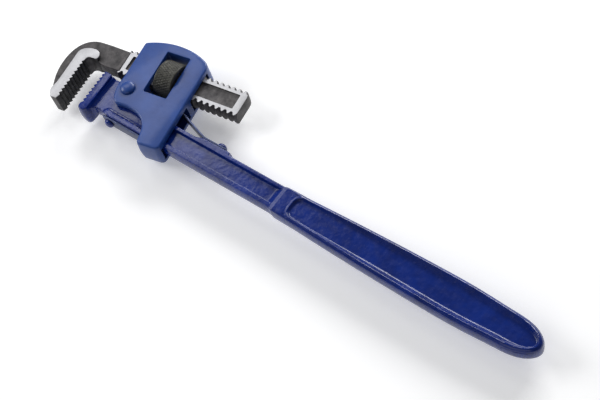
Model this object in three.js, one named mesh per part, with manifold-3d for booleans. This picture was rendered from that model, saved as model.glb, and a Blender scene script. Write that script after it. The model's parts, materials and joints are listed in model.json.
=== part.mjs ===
// Stillson pipe wrench, 24 inch class, lying on its side. Millimetres, +Z up.
// While it is being built, x runs along the handle from the pivot towards the grip, y runs from the
// handle towards the threaded shank, and z = 0 is the wrench's mid plane. The last lines move the
// whole group so that its origin is the middle of the bottom of its box.
import * as THREE from "three";
import { mergeVertices } from "three/addons/utils/BufferGeometryUtils.js";
import Module from "manifold-3d";

const wasm = await Module();
wasm.setup();

const gap = 0.3; // clearance kept between touching pieces

// Frames
const housingSwing = THREE.MathUtils.degToRad(9.24); // housing, turned on its pivot from the handle
const shankSwing = THREE.MathUtils.degToRad(7.7); // shank and nut, slack in the housing
const pivot = [0, 22.4]; // pivot rivet, in the handle's frame
const nutCentre = [29.5, 59.2]; // middle of the nut, in the handle's frame

// Handle
const barHalf = 14.4; // half height of the I-section bar
const railHalfZ = 8.5;
const webHalfZ = 5.2;
const neckHalfZ = 7;
const lowerRailTop = -7.4;
const upperRailBottom = 9.6;
const gripStart = 228;
const gripEnd = 540;
const gripHalfZ = 9;
const dishDepth = 2.6;
const heelHalfZ = 13.5;
const toothPitch = 5;
const toothDepth = 2.5;
const seatPad = { from: 112, to: 148, top: 17.4 }; // raised seat of the rear spring

// Springs and their rivets
const stripThickness = 2;
const stripHalfZ = 7;
const stripRivet = { shank: 3, head: 5.6, dome: 4.6, depth: 8 };
const frontRivetX = 1;
const rearRivetX = 132;

// Hook jaw
const padHalfZ = 13.5; // ground pad beside the teeth
const hookHalfZ = 8.8; // forged face around the pad
const shankHalfZ = 8;
const threadRadius = 17.75;
const threadDepth = 3;
const threadPitch = 7.6;
const shankStart = -63; // ends of the threaded shank, from the nut's middle
const shankEnd = 93.5;
const hookReach = 3.5; // how far the hook is screwed out from where its outline is drawn

// Nut
const nutRadius = 22.2;
const nutLength = 23.6;

// Housing
const housingHalfZ = 15.1;
const windowBox = { left: 22, right: 51.5, bottom: 25, top: 79.3 };
const tunnelHalfZ = 9.3; // tunnel for the shank
const tunnelHalfV = 19.6;
const slotHalfZ = 9; // slot for the handle
const pivotPin = { shank: 6, head: 8.5, dome: 4 };

// A closed geometry as a manifold solid.
function solid(geometry) {
  const bare = geometry.clone();
  bare.deleteAttribute("normal");
  bare.deleteAttribute("uv");
  const merged = mergeVertices(bare, 1e-4);
  return new wasm.Manifold(new wasm.Mesh({
    numProp: 3,
    vertProperties: new Float32Array(merged.attributes.position.array),
    triVerts: new Uint32Array(merged.index.array),
  }));
}

function join(...solids) {
  return solids.reduce((sum, next) => sum.add(next));
}

// A named mesh from a manifold solid.
function piece(name, body, { color, roughness, metalness }) {
  const mesh = body.getMesh();
  const geometry = new THREE.BufferGeometry();
  geometry.setAttribute("position", new THREE.BufferAttribute(mesh.vertProperties, 3));
  geometry.setIndex(new THREE.BufferAttribute(mesh.triVerts, 1));
  geometry.computeVertexNormals();
  const result = new THREE.Mesh(geometry, new THREE.MeshStandardMaterial({ color, roughness, metalness }));
  result.name = name;
  return result;
}

// The outline's points without repeats, which an extrusion can't take.
function cleaned(shape, curveSegments) {
  const points = shape.getPoints(curveSegments);
  const apart = (p, q) => p.distanceTo(q) > 1e-3;
  return new THREE.Shape(points.filter((p, i) => apart(p, points[(i + 1) % points.length])));
}

// A flat outline given a thickness of 2 * halfZ about z = 0, with a chamfer on both faces.
function plate(shape, halfZ, chamfer = 0, curveSegments = 10) {
  const geometry = new THREE.ExtrudeGeometry(cleaned(shape, curveSegments), {
    depth: 2 * (halfZ - chamfer),
    bevelEnabled: chamfer > 0,
    bevelThickness: chamfer,
    bevelSize: chamfer,
    bevelOffset: -chamfer,
    bevelSegments: 1,
    curveSegments,
  });
  geometry.translate(0, 0, chamfer - halfZ);
  return geometry;
}

function block(left, right, low, high, halfZ) {
  const geometry = new THREE.BoxGeometry(right - left, high - low, 2 * halfZ);
  geometry.translate((left + right) / 2, (low + high) / 2, 0);
  return geometry;
}

function polygon(points) {
  return new THREE.Shape(points.map(([x, y]) => new THREE.Vector2(x, y)));
}

// A straight row of teeth from one point to another; rake is where the tip sits along each pitch.
function toothRow(from, to, pitch, depth, rake) {
  const start = new THREE.Vector2(...from);
  const along = new THREE.Vector2(...to).sub(start);
  const count = Math.floor(along.length() / pitch);
  along.normalize();
  const inward = new THREE.Vector2(along.y, -along.x);
  const points = [];
  for (let i = 0; i < count; i += 1) {
    const tip = start.clone().addScaledVector(along, (i + rake) * pitch);
    const root = start.clone().addScaledVector(along, (i + 1) * pitch).addScaledVector(inward, depth);
    points.push([tip.x, tip.y], [root.x, root.y]);
  }
  return points;
}

// A rod along x with a single right-hand thread. Each pitch has a root, a flank, a crest and a flank,
// and the rod closes on itself one pitch further on after each turn. Its two ends stay ragged.
function threadedRod({ radius, depth, pitch, length, rootShare, crestShare, sides }) {
  const profile = [
    [-rootShare / 2, radius - depth],
    [rootShare / 2, radius - depth],
    [(1 - crestShare) / 2, radius],
    [(1 + crestShare) / 2, radius],
  ];
  const turns = 2 * Math.ceil(length / pitch / 2) + 2; // even, so that rods of any length stay in step
  const columns = turns * profile.length;
  const start = -turns * pitch / 2;
  const points = [];
  for (let side = 0; side <= sides; side += 1) {
    const angle = 2 * Math.PI * (side % sides) / sides;
    for (let column = 0; column <= columns; column += 1) {
      const [share, r] = profile[column % profile.length];
      const x = start + pitch * (Math.floor(column / profile.length) + share + side / sides);
      points.push(x, r * Math.cos(angle), r * Math.sin(angle));
    }
  }
  const at = (side, column) => side * (columns + 1) + column;
  const index = [];
  for (let side = 0; side < sides; side += 1) {
    for (let column = 0; column < columns; column += 1) {
      const a = at(side, column);
      const b = at(side, column + 1);
      const c = at(side + 1, column + 1);
      const d = at(side + 1, column);
      index.push(a, c, b, a, d, c);
    }
  }
  const lowHub = points.length / 3;
  points.push(start + pitch / 2, 0, 0, start + pitch * (turns + 0.5), 0, 0);
  for (let side = 0; side < sides; side += 1) {
    index.push(lowHub, at(side + 1, 0), at(side, 0));
    index.push(lowHub + 1, at(side, columns), at(side + 1, columns));
  }
  for (let column = 0; column < profile.length; column += 1) {
    index.push(lowHub, at(0, column), at(0, column + 1));
    index.push(lowHub + 1, at(sides, columns - column), at(sides, columns - column - 1));
  }
  const geometry = new THREE.BufferGeometry();
  geometry.setAttribute("position", new THREE.Float32BufferAttribute(points, 3));
  geometry.setIndex(index);
  return solid(geometry);
}

// A rivet with a domed head, its shank along -Y from the underside of the head at y = 0.
function domedRivet({ shank, head, dome, depth }, headCount = 1) {
  const steps = 5;
  const domeLine = Array.from({ length: steps + 1 }, (_, i) => {
    const angle = Math.PI / 2 * i / steps;
    return new THREE.Vector2(head * Math.sin(angle), dome * Math.cos(angle));
  });
  const tail = headCount === 2
    ? domeLine.map((p) => new THREE.Vector2(p.x, -depth - p.y)).reverse()
    : [new THREE.Vector2(0, -depth)];
  const profile = [...domeLine, new THREE.Vector2(shank, 0), new THREE.Vector2(shank, -depth), ...tail];
  return new THREE.LatheGeometry(profile.reverse().map((p) => (p.x < 1e-6 ? p.setX(0) : p)), 24);
}

// Round hole along y, open above y = top.
function drilledHole(x, top, depth, radius) {
  const hole = new THREE.CylinderGeometry(radius, radius, depth, 24);
  hole.translate(x, top - depth / 2, 0);
  return solid(hole);
}

// Upper half of the grip's outline: [x, half height].
const gripProfile = [[300, 18.4], [350, 20], [400, 21], [450, 21.2], [500, 18.6]];

function gripOutline(inset, from, to) {
  const reach = to - 500;
  const upper = gripProfile.filter(([x]) => x > from + 5).map(([x, h]) => new THREE.Vector2(x, h - inset));
  upper.unshift(new THREE.Vector2(from, 15.4 + (from - gripStart) * 0.04 - inset));
  const shape = new THREE.Shape();
  shape.moveTo(upper[0].x, -upper[0].y);
  shape.splineThru(upper.slice(1).map((p) => new THREE.Vector2(p.x, -p.y)));
  const end = upper[upper.length - 1].y;
  shape.bezierCurveTo(500 + reach * 0.6, -end * 0.86, to, -end * 0.62, to, 0);
  shape.bezierCurveTo(to, end * 0.62, 500 + reach * 0.6, end * 0.86, 500, end);
  shape.splineThru(upper.slice(0, -1).reverse());
  shape.closePath();
  return shape;
}

// Heel jaw: the fixed jaw, with its teeth facing -x.
function heelOutline() {
  const teeth = toothRow([-37, -19.6], [-40.3, 25.6], toothPitch, toothDepth, 0.35);
  return polygon([
    [-27.5, -22.5], [-30, -24], [-33.5, -24], [-36.2, -22.6], ...teeth,
    [-38.2, 26.8], [-36.5, 27.7], [-29.4, 27.7], [-26.7, -4], [-26.5, -19],
  ]);
}

// Neck between the heel jaw and the bar, with the pivot's lug.
function neckOutline() {
  const shape = new THREE.Shape();
  shape.moveTo(-32, -20);
  shape.lineTo(-26, -19);
  shape.quadraticCurveTo(-25, -12.6, -19, -12.4);
  shape.lineTo(-9, -12.4);
  shape.quadraticCurveTo(-5, -barHalf, 0, -barHalf);
  shape.lineTo(30, -barHalf);
  shape.lineTo(30, barHalf);
  shape.quadraticCurveTo(18, barHalf, 12, 22);
  shape.absarc(pivot[0], pivot[1], 10.5, 0.25, 2.1, false);
  shape.quadraticCurveTo(-16, 27.7, -32, 27.7);
  shape.closePath();
  return shape;
}

// Lower rail of the bar, which starts with a round end beside the heel jaw.
function lowerRailOutline() {
  const middle = (lowerRailTop - barHalf) / 2;
  const radius = (lowerRailTop + barHalf) / 2;
  const shape = new THREE.Shape();
  shape.moveTo(gripStart + 2, -barHalf);
  shape.lineTo(gripStart + 2, lowerRailTop);
  shape.lineTo(-6, lowerRailTop);
  shape.absarc(-6, middle, radius, Math.PI / 2, 1.5 * Math.PI, false);
  shape.closePath();
  return shape;
}

function handle() {
  const rivetHole = stripRivet.shank + gap;
  const dish = gripOutline(3.6, 243, gripEnd - 5);
  const dishes = [1, -1].map((side) => {
    const pocket = plate(dish, dishDepth);
    pocket.translate(0, 0, side * gripHalfZ);
    return solid(pocket);
  });
  const ramp = polygon([
    [seatPad.from - 10, barHalf - 1], [seatPad.from, seatPad.top], [seatPad.to - 1, seatPad.top],
    [seatPad.to + 1, seatPad.top - 1.5], [seatPad.to + 1, barHalf - 1],
  ]);
  const pivotHole = new THREE.CylinderGeometry(pivotPin.shank + gap, pivotPin.shank + gap, 40, 32);
  pivotHole.rotateX(Math.PI / 2);
  pivotHole.translate(pivot[0], pivot[1], 0);
  let body = join(
    solid(plate(neckOutline(), neckHalfZ, 0.6, 6)),
    solid(plate(lowerRailOutline(), railHalfZ, 0.6, 6)),
    solid(plate(polygon([
      [8, upperRailBottom], [gripStart + 2, upperRailBottom], [gripStart + 2, barHalf], [8, barHalf],
    ]), railHalfZ, 0.6)),
    solid(block(20, gripStart + 2, -barHalf + 1, barHalf - 1, webHalfZ)),
    solid(plate(ramp, stripHalfZ + 0.5)),
    solid(plate(gripOutline(0, gripStart - 2, gripEnd), gripHalfZ, 1.6, 6)),
    solid(plate(heelOutline(), heelHalfZ, 0.6)),
  );
  for (const pocket of dishes) body = body.subtract(pocket);
  return body
    .subtract(solid(pivotHole))
    .subtract(drilledHole(rearRivetX, seatPad.top + 1, stripRivet.depth + 2, rivetHole))
    .subtract(drilledHole(frontRivetX, -barHalf + stripRivet.depth + 1, stripRivet.depth + 2, rivetHole));
}

// A leaf spring: a strip of even thickness above its lower line of points.
function leafSpring(line, side) {
  const lower = line.map(([x, y]) => [x, y]);
  const upper = line.map(([x, y]) => [x, y + side * stripThickness]).reverse();
  return solid(plate(polygon(side > 0 ? [...lower, ...upper] : [...upper, ...lower]), stripHalfZ));
}

function rearSpring() {
  const seat = seatPad.top + gap;
  const strip = leafSpring([[63, 31.2], [80, 27], [96, 22.2], [106, seat + 0.4], [112, seat], [141, seat]], 1);
  return strip.subtract(drilledHole(rearRivetX, seat + 10, 20, stripRivet.shank + gap));
}

function frontSpring() {
  const seat = -barHalf - gap;
  const line = [[-8, seat], [30, seat], [52, seat - 0.7], [70, seat - 1.2], [76, seat - 0.6]];
  return leafSpring(line, -1).subtract(drilledHole(frontRivetX, seat + 10, 20, stripRivet.shank + gap));
}

function stripRivetAt(x, y, side) {
  const rivet = domedRivet(stripRivet);
  if (side < 0) rivet.rotateX(Math.PI);
  rivet.translate(x, y, 0);
  return solid(rivet);
}

// Outline of the housing's cheeks, in the housing's own frame.
function housingOutline() {
  const shape = new THREE.Shape();
  shape.moveTo(-9.3, 80.5);
  shape.quadraticCurveTo(-9.2, 82.3, -7.4, 82.8);
  shape.quadraticCurveTo(12, 91, 31, 91);
  shape.quadraticCurveTo(52, 91, 69, 82.4);
  shape.quadraticCurveTo(75, 79, 75.2, 72);
  shape.lineTo(76, -30);
  shape.quadraticCurveTo(75.6, -34, 72, -34.4);
  shape.lineTo(52, -35.2);
  shape.quadraticCurveTo(48.6, -35, 47.6, -31);
  shape.bezierCurveTo(47, -16, 40, 4.6, -0.5, 1.2);
  shape.bezierCurveTo(-6, 4, -10.4, 14, -10.2, 25);
  shape.lineTo(-9.3, 37);
  shape.closePath();
  return shape;
}

// Space for the handle: as wide as the lug beside the pivot, then a slot parallel to the bar.
function handleSlot() {
  const slope = Math.tan(housingSwing);
  const barBottom = (u) => -barHalf / Math.cos(housingSwing) - 4 - slope * u;
  return solid(plate(polygon([
    [-30, -40], [46, -40], [46, barBottom(46)], [90, barBottom(90)], [90, 25.5], [57, 25.5],
    [54, 20.5], [20, 20.5], [17, 37], [-30, 37],
  ]), slotHalfZ));
}

function housing() {
  const { left, right, bottom, top } = windowBox;
  const tunnel = block(-120, 200, -tunnelHalfV, tunnelHalfV, tunnelHalfZ);
  tunnel.rotateZ(shankSwing - housingSwing);
  const [nutU, nutV] = toHousing(nutCentre);
  tunnel.translate(nutU, nutV, 0);
  const hole = new THREE.CylinderGeometry(pivotPin.shank + gap, pivotPin.shank + gap, 60, 32);
  hole.rotateX(Math.PI / 2);
  hole.translate(...toHousing(pivot), 0);
  return solid(plate(housingOutline(), housingHalfZ, 1.4, 8))
    .subtract(solid(block(left, right, bottom, top, 20)))
    .subtract(solid(tunnel))
    .subtract(handleSlot())
    .subtract(solid(hole));
}

// A point of the handle's frame, in the housing's frame.
function toHousing([x, y]) {
  const c = Math.cos(housingSwing);
  const s = Math.sin(housingSwing);
  return [x * c + y * s, y * c - x * s];
}

function pivotRivet() {
  const grip = 2 * (housingHalfZ + gap);
  const rivet = domedRivet({ ...pivotPin, depth: grip }, 2);
  rivet.rotateX(Math.PI / 2);
  rivet.translate(...toHousing(pivot), grip / 2);
  return solid(rivet);
}

function thread(extra, length) {
  return threadedRod({
    radius: threadRadius + extra,
    depth: threadDepth,
    pitch: threadPitch,
    length,
    rootShare: 0.34 - 2 * extra / threadPitch,
    crestShare: 0.2 + 2 * extra / threadPitch,
    sides: 32,
  });
}

// Threaded shank, in the shank's frame: x along it from the nut's middle.
function shank() {
  const corner = 9;
  const half = threadRadius + 2;
  const outline = new THREE.Shape();
  outline.moveTo(shankStart, -half);
  outline.lineTo(shankEnd, -half);
  outline.lineTo(shankEnd, threadRadius - 1.5 - corner);
  outline.quadraticCurveTo(shankEnd, threadRadius - 2, shankEnd - corner, half);
  outline.lineTo(shankStart, half);
  outline.closePath();
  const rod = thread(0, shankEnd - shankStart + 2 * threadPitch);
  const recess = block(shankStart + 7, shankEnd - 8.2, -9.2, 9.2, 2.2);
  const pockets = [1, -1].map((side) => {
    const pocket = recess.clone();
    pocket.translate(0, 0, side * (shankHalfZ + 0.2));
    return solid(pocket);
  });
  return rod
    .intersect(solid(plate(outline, shankHalfZ)))
    .subtract(pockets[0])
    .subtract(pockets[1]);
}

// Outer line of the hook, from the neck's top round to the tip; shared by the body and the pad.
function hookBack(shape) {
  shape.bezierCurveTo(-76, 68, -89, 54, -89, 28);
  shape.bezierCurveTo(-89, 10, -82, -2, -76.6, -13.5);
}

const hookTeeth = toothRow([-64.4, -14.5], [-61.8, 35.6], toothPitch, -toothDepth, 0.65);

// Forged body of the hook, in the housing's frame.
function hookOutline() {
  const shape = new THREE.Shape();
  shape.moveTo(-19, 67.6);
  shape.lineTo(-44, 68.4);
  shape.lineTo(-60, 68);
  hookBack(shape);
  shape.quadraticCurveTo(-75.4, -16.4, -72.5, -16.6);
  shape.lineTo(-65.4, -16.6);
  for (const [x, y] of hookTeeth) shape.lineTo(x, y);
  shape.lineTo(-62, 38.5);
  shape.quadraticCurveTo(-61.6, 43.6, -57, 43.8);
  shape.lineTo(-49.5, 43.8);
  shape.quadraticCurveTo(-43, 41.4, -36, 41.2);
  shape.lineTo(-19, 41.2);
  shape.closePath();
  return shape;
}

// Raised pad that is ground bright: beside the teeth and round the throat.
function padOutline() {
  const shape = new THREE.Shape();
  shape.moveTo(-76.8, -13);
  shape.quadraticCurveTo(-75.4, -16.4, -72.5, -16.6);
  shape.lineTo(-65.4, -16.6);
  for (const [x, y] of hookTeeth) shape.lineTo(x, y);
  shape.lineTo(-62, 38.5);
  shape.quadraticCurveTo(-61.6, 43.6, -57, 43.8);
  shape.lineTo(-51, 43.8);
  shape.bezierCurveTo(-46.5, 43.8, -48.5, 55, -58, 55);
  shape.bezierCurveTo(-68, 55, -75.6, 50.5, -75.6, 44);
  shape.lineTo(-77, 5);
  shape.bezierCurveTo(-77.3, -2, -79, -6, -79.2, -8);
  shape.closePath();
  return shape;
}

function hookJaw() {
  const fromHousing = new THREE.Matrix4().makeRotationZ(housingSwing);
  const fromShank = new THREE.Matrix4().makeRotationZ(shankSwing).setPosition(...nutCentre, 0);
  const screwedOut = new THREE.Matrix4().makeTranslation(-hookReach, 0, 0);
  const toShank = fromShank.clone().invert().multiply(fromHousing).premultiply(screwedOut);
  const body = plate(hookOutline(), hookHalfZ, 0.8, 8).applyMatrix4(toShank);
  const pad = plate(padOutline(), padHalfZ, 0.5, 8).applyMatrix4(toShank);
  return join(solid(body), solid(pad), shank());
}

// Nut: a knurled ring with an inner thread that clears the shank's.
function adjustingNut() {
  const edge = 1.6;
  const half = nutLength / 2;
  const ring = new THREE.LatheGeometry([
    [0, -half], [nutRadius - edge, -half], [nutRadius, -half + edge], [nutRadius, half - edge],
    [nutRadius - edge, half], [0, half],
  ].map(([x, y]) => new THREE.Vector2(x, y)), 48);
  ring.rotateZ(-Math.PI / 2);
  return solid(ring).subtract(thread(gap + 0.1, nutLength + 4 * threadPitch));
}

const paint = { color: 0x123a96, roughness: 0.32, metalness: 0.1 };
const satinPaint = { color: 0x3f6bb4, roughness: 0.5, metalness: 0.1 };
const forging = { color: 0x57545a, roughness: 0.55, metalness: 0.7 };
const blackening = { color: 0x35342f, roughness: 0.5, metalness: 0.6 };
const springSteel = { color: 0x3c435c, roughness: 0.4, metalness: 0.7 };

const wrench = new THREE.Group();

const housingGroup = new THREE.Group();
housingGroup.rotation.z = housingSwing;
housingGroup.add(piece("housing", housing(), satinPaint));
housingGroup.add(piece("pivot_rivet", pivotRivet(), satinPaint));

const shankGroup = new THREE.Group();
shankGroup.rotation.z = shankSwing;
shankGroup.position.set(...nutCentre, 0);
shankGroup.add(piece("hook_jaw", hookJaw(), forging));
shankGroup.add(piece("adjusting_nut", adjustingNut(), blackening));

wrench.add(piece("handle", handle(), paint));
wrench.add(piece("rear_spring", rearSpring(), springSteel));
wrench.add(piece("front_spring", frontSpring(), springSteel));
wrench.add(piece("rear_spring_rivet", stripRivetAt(rearRivetX, seatPad.top + 2 * gap + stripThickness, 1), paint));
wrench.add(piece("front_spring_rivet", stripRivetAt(frontRivetX, -barHalf - 2 * gap - stripThickness, -1), paint));
wrench.add(housingGroup, shankGroup);

// Origin at the middle of the bottom of the box.
const box = new THREE.Box3().setFromObject(wrench, true);
const middle = box.getCenter(new THREE.Vector3());
wrench.position.set(-middle.x, -middle.y, -box.min.z);

export default wrench;
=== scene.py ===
import json
from math import atan2, cos, hypot, pi, radians, sin, sqrt, tan

import bmesh
import bpy
import numpy as np
from mathutils import Matrix, Vector


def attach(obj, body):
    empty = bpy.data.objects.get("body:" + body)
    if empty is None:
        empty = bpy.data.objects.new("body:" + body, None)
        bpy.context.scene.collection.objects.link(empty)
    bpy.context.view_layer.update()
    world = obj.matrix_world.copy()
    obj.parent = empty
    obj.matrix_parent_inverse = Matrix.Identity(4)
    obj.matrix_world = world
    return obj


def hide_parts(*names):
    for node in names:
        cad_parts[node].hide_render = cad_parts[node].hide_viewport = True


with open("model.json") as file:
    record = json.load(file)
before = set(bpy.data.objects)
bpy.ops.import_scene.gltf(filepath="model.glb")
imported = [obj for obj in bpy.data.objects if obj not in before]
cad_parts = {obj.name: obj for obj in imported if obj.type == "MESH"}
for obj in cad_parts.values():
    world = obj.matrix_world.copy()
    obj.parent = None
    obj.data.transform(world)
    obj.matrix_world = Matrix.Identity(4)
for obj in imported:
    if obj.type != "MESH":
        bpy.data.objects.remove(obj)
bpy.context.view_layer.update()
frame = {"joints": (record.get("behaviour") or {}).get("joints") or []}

millimetre = 0.001
joints = {joint["name"]: joint for joint in frame["joints"]}

# Places, from the frame's joints and a few numbers given here.

pivotAboveBar = 22.4  # pivot's height above the bar's centre line
housingSwing = radians(9.24)
shankAxis = Vector(joints["nut_spin"]["axis"])


def flatFrame(origin, angle):
    # millimetres in a flat frame -> metres in the model's frame
    return Matrix.Translation(origin) @ Matrix.Rotation(angle, 4, "Z") @ Matrix.Scale(millimetre, 4)


handleOrigin = Vector(joints["housing_rock"]["pos_m"]) - Vector((0, pivotAboveBar * millimetre, 0))
handleFrame = flatFrame(handleOrigin, 0)
housingFrame = flatFrame(handleOrigin, housingSwing)
shankFrame = flatFrame(Vector(joints["nut_spin"]["pos_m"]), atan2(shankAxis.y, shankAxis.x))
hookReach = 3.5  # how far the hook is screwed out from where its outline is drawn
hookFrame = flatFrame(handleOrigin - shankAxis * hookReach * millimetre, housingSwing)


# Small mesh tools.

def newObject(name, mesh):
    piece = bpy.data.objects.new(name, mesh)
    bpy.context.scene.collection.objects.link(piece)
    return piece


def meshObject(name, points, faces, frameMatrix, material=None):
    mesh = bpy.data.meshes.new(name)
    mesh.from_pydata([frameMatrix @ Vector(p) for p in points], [], faces)
    piece = newObject(name, mesh)
    tidyMesh(piece)
    if material:
        mesh.materials.append(material)
    return piece


def tidyMesh(piece, distance=1e-6):
    # merges doubles and turns the faces outwards
    work = bmesh.new()
    work.from_mesh(piece.data)
    bmesh.ops.remove_doubles(work, verts=work.verts, dist=distance)
    bmesh.ops.dissolve_degenerate(work, edges=work.edges, dist=distance)
    bmesh.ops.recalc_face_normals(work, faces=work.faces)
    work.to_mesh(piece.data)
    work.free()


def bake(piece):
    # applies the live modifiers and keeps a plain mesh
    graph = bpy.context.evaluated_depsgraph_get()
    mesh = bpy.data.meshes.new_from_object(piece.evaluated_get(graph))
    piece.modifiers.clear()
    piece.data = mesh
    return piece


def combine(piece, other, operation="DIFFERENCE"):
    # cuts, joins or intersects with another piece, which is used up
    cut = piece.modifiers.new("cut", "BOOLEAN")
    cut.operation = operation
    cut.solver = "EXACT"
    cut.object = other
    bake(piece)
    bpy.data.objects.remove(other)
    return piece


def shade(piece, angle=35):
    # smooth faces, with a crease wherever they meet at more than the angle
    piece.data.shade_smooth()
    work = bmesh.new()
    work.from_mesh(piece.data)
    limit = radians(angle)
    for edge in work.edges:
        edge.smooth = not (len(edge.link_faces) == 2 and edge.calc_face_angle(0) > limit)
    work.to_mesh(piece.data)
    work.free()
    return piece


def handOver(piece, body, replaced):
    # tells the frame which body the piece rides on and which nodes it stands for
    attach(piece, body)
    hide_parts(*replaced)
    return piece


# Outlines.

def bezier(a, b, c, d, count=14):
    a, b, c, d = map(np.array, (a, b, c, d))
    t = np.linspace(0, 1, count)[:, None]
    line = (1 - t) ** 3 * a + 3 * (1 - t) ** 2 * t * b + 3 * (1 - t) * t ** 2 * c + t ** 3 * d
    return [tuple(p) for p in line]


def bow(a, b, c, count=10):
    # quadratic curve from a to c, pulled towards b
    a, b, c = map(np.array, (a, b, c))
    return bezier(a, a + (b - a) * 2 / 3, c + (b - c) * 2 / 3, c, count)


def corners(points, radius, count=6):
    # polygon with every corner rounded by an arc-like bow
    rounded = []
    total = len(points)
    for i, point in enumerate(points):
        here = np.array(point, float)
        before = np.array(points[i - 1], float)
        after = np.array(points[(i + 1) % total], float)
        reach = min(radius, np.linalg.norm(before - here) / 2, np.linalg.norm(after - here) / 2)
        start = here + (before - here) / np.linalg.norm(before - here) * reach
        end = here + (after - here) / np.linalg.norm(after - here) * reach
        rounded += bow(start, here, end, count)
    return rounded


def cleanLine(points, closest=0.02):
    # drops the points that repeat the one before them
    kept = [points[0]]
    for point in points[1:]:
        if hypot(point[0] - kept[-1][0], point[1] - kept[-1][1]) > closest:
            kept.append(point)
    if hypot(kept[0][0] - kept[-1][0], kept[0][1] - kept[-1][1]) <= closest:
        kept.pop()
    return kept


def inwardNormals(line):
    # mitred inward direction at each point of a closed line
    area = np.sum(line[:, 0] * np.roll(line[:, 1], -1) - np.roll(line[:, 0], -1) * line[:, 1])
    turn = 1 if area > 0 else -1
    edge = np.roll(line, -1, 0) - line
    edge /= np.linalg.norm(edge, axis=1)[:, None]
    normal = turn * np.stack([-edge[:, 1], edge[:, 0]], 1)
    before = np.roll(normal, 1, 0)
    share = 1 + np.sum(normal * before, 1)
    return (normal + before) / np.maximum(share, 0.35)[:, None]


def ringSolid(name, line, levels, frameMatrix, material=None, swell=None):
    # stacks copies of an outline, each at (inset, z), and closes both ends;
    # swell(x, y) is how far the wall bulges out at mid height
    line = np.array(cleanLine(line))
    inward = inwardNormals(line)
    count = len(line)
    bulge = inward * np.array([swell(x, y) if swell else 0 for x, y in line])[:, None]
    top = levels[-1][1]
    points = []
    for inset, z in levels:
        ring = line + inward * inset - bulge * (1 - (z / top) ** 2)
        points += [(x, y, z) for x, y in ring]
    faces = []
    for level in range(len(levels) - 1):
        low = level * count
        for i in range(count):
            j = (i + 1) % count
            faces.append((low + i, low + j, low + count + j, low + count + i))
    faces.append(tuple(range(count)))
    faces.append(tuple((len(levels) - 1) * count + i for i in range(count)))
    return meshObject(name, points, faces, frameMatrix, material)


def roundedLevels(halfZ, radius, steps=4):
    # the (inset, z) levels of a plate whose two edges are rounded
    rise = [(radius * (1 - cos(a)), halfZ - radius + radius * sin(a))
            for a in np.linspace(0, pi / 2, steps + 1)]
    return [(inset, -z) for inset, z in reversed(rise)] + rise


def flaredLevels(halfZ, radius, beyond=5, steps=4):
    # a cutter that leaves rounded edges where it breaks through both faces
    rise = [(-radius * (1 - cos(a)), halfZ - radius + radius * sin(a))
            for a in np.linspace(0, pi / 2, steps + 1)]
    rise.append((-radius, halfZ + beyond))
    return [(inset, -z) for inset, z in reversed(rise)] + rise


def roundedPlate(name, line, halfZ, radius, frameMatrix, material=None, steps=4, swell=None):
    # a bulging wall gets six more levels between its two rounded edges
    levels = roundedLevels(halfZ, radius, steps)
    if swell:
        middle = len(levels) // 2
        wall = [(0, z) for z in np.linspace(radius - halfZ, halfZ - radius, 8)[1:-1]]
        levels = levels[:middle] + wall + levels[middle:]
    return ringSolid(name, line, levels, frameMatrix, material, swell)


def toothLine(start, end, pitch, depth, rake):
    # saw teeth from start to end, cut to the right of that direction
    start, end = np.array(start, float), np.array(end, float)
    along = (end - start) / np.linalg.norm(end - start)
    inward = np.array([along[1], -along[0]])
    line = []
    for i in range(int(np.linalg.norm(end - start) / pitch)):
        tip = start + along * (i + rake) * pitch
        root = start + along * (i + 1) * pitch + inward * depth
        line += [tuple(tip), tuple(root)]
    return line


# Materials.

def link(tree, source, target):
    tree.links.new(source, target)


def startMaterial(name):
    material = bpy.data.materials.new(name)
    material.use_nodes = True
    tree = material.node_tree
    shader = tree.nodes["Principled BSDF"]
    coordinates = tree.nodes.new("ShaderNodeTexCoord")
    return material, tree, shader, coordinates.outputs["Object"]


def noise(tree, coordinates, scale, detail=3, roughness=0.5, stretch=None):
    if stretch:
        mapping = tree.nodes.new("ShaderNodeMapping")
        mapping.inputs["Scale"].default_value = stretch
        link(tree, coordinates, mapping.inputs["Vector"])
        coordinates = mapping.outputs["Vector"]
    node = tree.nodes.new("ShaderNodeTexNoise")
    node.inputs["Scale"].default_value = scale
    node.inputs["Detail"].default_value = detail
    node.inputs["Roughness"].default_value = roughness
    link(tree, coordinates, node.inputs["Vector"])
    return node.outputs["Fac"]


def ramp(tree, value, stops):
    node = tree.nodes.new("ShaderNodeValToRGB")
    elements = node.color_ramp.elements
    while len(elements) < len(stops):
        elements.new(0.5)
    for element, (position, colour) in zip(elements, stops):
        element.position = position
        element.color = (*colour, 1)
    link(tree, value, node.inputs["Fac"])
    return node.outputs["Color"]


def rangeOf(tree, value, low, high):
    # noise stays mostly between 0.3 and 0.7
    node = tree.nodes.new("ShaderNodeMapRange")
    node.inputs["From Min"].default_value = 0.3
    node.inputs["From Max"].default_value = 0.7
    node.inputs["To Min"].default_value = low
    node.inputs["To Max"].default_value = high
    link(tree, value, node.inputs["Value"])
    return node.outputs["Result"]


def bump(tree, heights, shader):
    # a chain of bumps: (height, strength, distance in metres)
    normal = None
    for height, strength, distance in heights:
        node = tree.nodes.new("ShaderNodeBump")
        node.inputs["Strength"].default_value = strength
        node.inputs["Distance"].default_value = distance
        link(tree, height, node.inputs["Height"])
        if normal:
            link(tree, normal, node.inputs["Normal"])
        normal = node.outputs["Normal"]
    link(tree, normal, shader.inputs["Normal"])


paintLook = {
    "gloss": {"dark": (0.002, 0.013, 0.125), "light": (0.003, 0.024, 0.22),
              "rough": (0.2, 0.32), "lumps": 0.5},
    "satin": {"dark": (0.009, 0.042, 0.20), "light": (0.016, 0.066, 0.29),
              "rough": (0.36, 0.46), "lumps": 0.2},
}


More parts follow.
